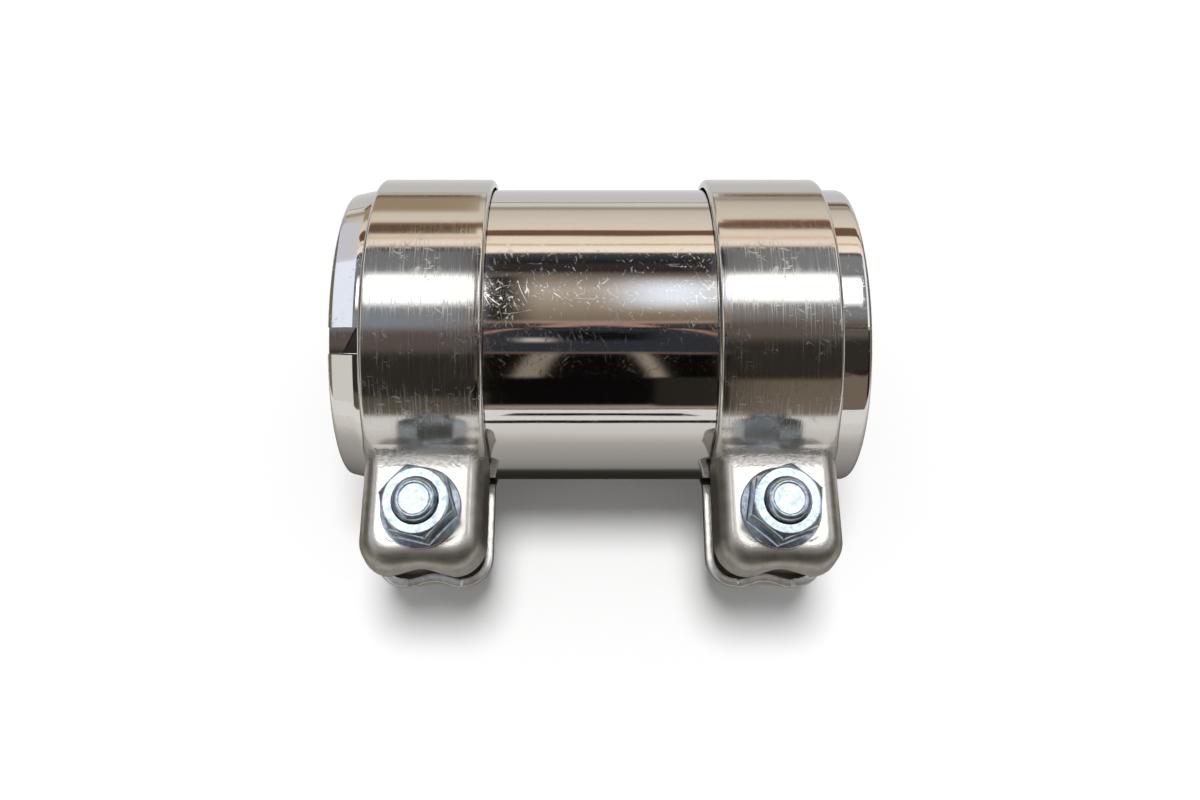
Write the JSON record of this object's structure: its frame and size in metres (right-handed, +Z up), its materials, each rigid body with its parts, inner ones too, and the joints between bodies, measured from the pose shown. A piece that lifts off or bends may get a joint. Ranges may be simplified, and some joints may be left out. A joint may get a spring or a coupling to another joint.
{
  "type": "exhaust sleeve clamp",
  "caption": "Rolled steel sleeve that joins two exhaust pipe ends, with a wide band clamp near each end, each closed by a flange nut and bolt through pressed lugs.",
  "frame": {"origin": "centre of the sleeve's bore, halfway along the sleeve", "axes": "+X along the sleeve towards its plain end, away from the coned collar; +Z up as the clamp lies on its back; the lugs and bolts point towards -Y and a little down"},
  "size_m": [0.125, 0.1045, 0.0804],
  "materials": {
    "sleeve_steel": "mirror-polished stainless sheet with fine hairline scratches",
    "band_steel": "satin stainless strip, faintly brushed round the band, matt at the pressed bends",
    "zinc_plate": "bright bluish zinc plating on steel"
  },
  "bodies": {
    "sleeve": {"sleeve": "sleeve_steel"},
    "left_clamp": {"left_band": "band_steel"},
    "right_clamp": {"right_band": "band_steel"},
    "left_bolt": {"left_bolt": "zinc_plate"},
    "right_bolt": {"right_bolt": "zinc_plate"},
    "left_nut": {"left_nut": "zinc_plate"},
    "right_nut": {"right_nut": "zinc_plate"}
  },
  "joints": [
    {"name": "left_band_turn", "type": "hinge", "parent": "sleeve", "child": "left_clamp", "pos_m": [-0.0409, 0, 0], "axis": [1, 0, 0], "continuous": true},
    {"name": "left_bolt_travel", "type": "slide", "parent": "left_clamp", "child": "left_bolt", "axis": [0, 0.2329, -0.9725], "range_m": [0, 0.0105]},
    {"name": "left_nut_spin", "type": "hinge", "parent": "left_clamp", "child": "left_nut", "pos_m": [-0.0409, -0.05197, 0.00699], "axis": [0, -0.2329, 0.9725], "range_deg": [0, 2521]},
    {"name": "right_band_turn", "type": "hinge", "parent": "sleeve", "child": "right_clamp", "pos_m": [0.0415, 0, 0], "axis": [1, 0, 0], "continuous": true},
    {"name": "right_bolt_travel", "type": "slide", "parent": "right_clamp", "child": "right_bolt", "axis": [0, 0.2329, -0.9725], "range_m": [0, 0.0105]},
    {"name": "right_nut_spin", "type": "hinge", "parent": "right_clamp", "child": "right_nut", "pos_m": [0.0415, -0.05197, 0.00699], "axis": [0, -0.2329, 0.9725], "range_deg": [0, 2521]}
  ],
  "couplings": [
    {"joint": "left_nut_spin", "follows": "left_bolt_travel", "rad_per_m": 4188.8},
    {"joint": "right_nut_spin", "follows": "right_bolt_travel", "rad_per_m": 4188.8}
  ]
}
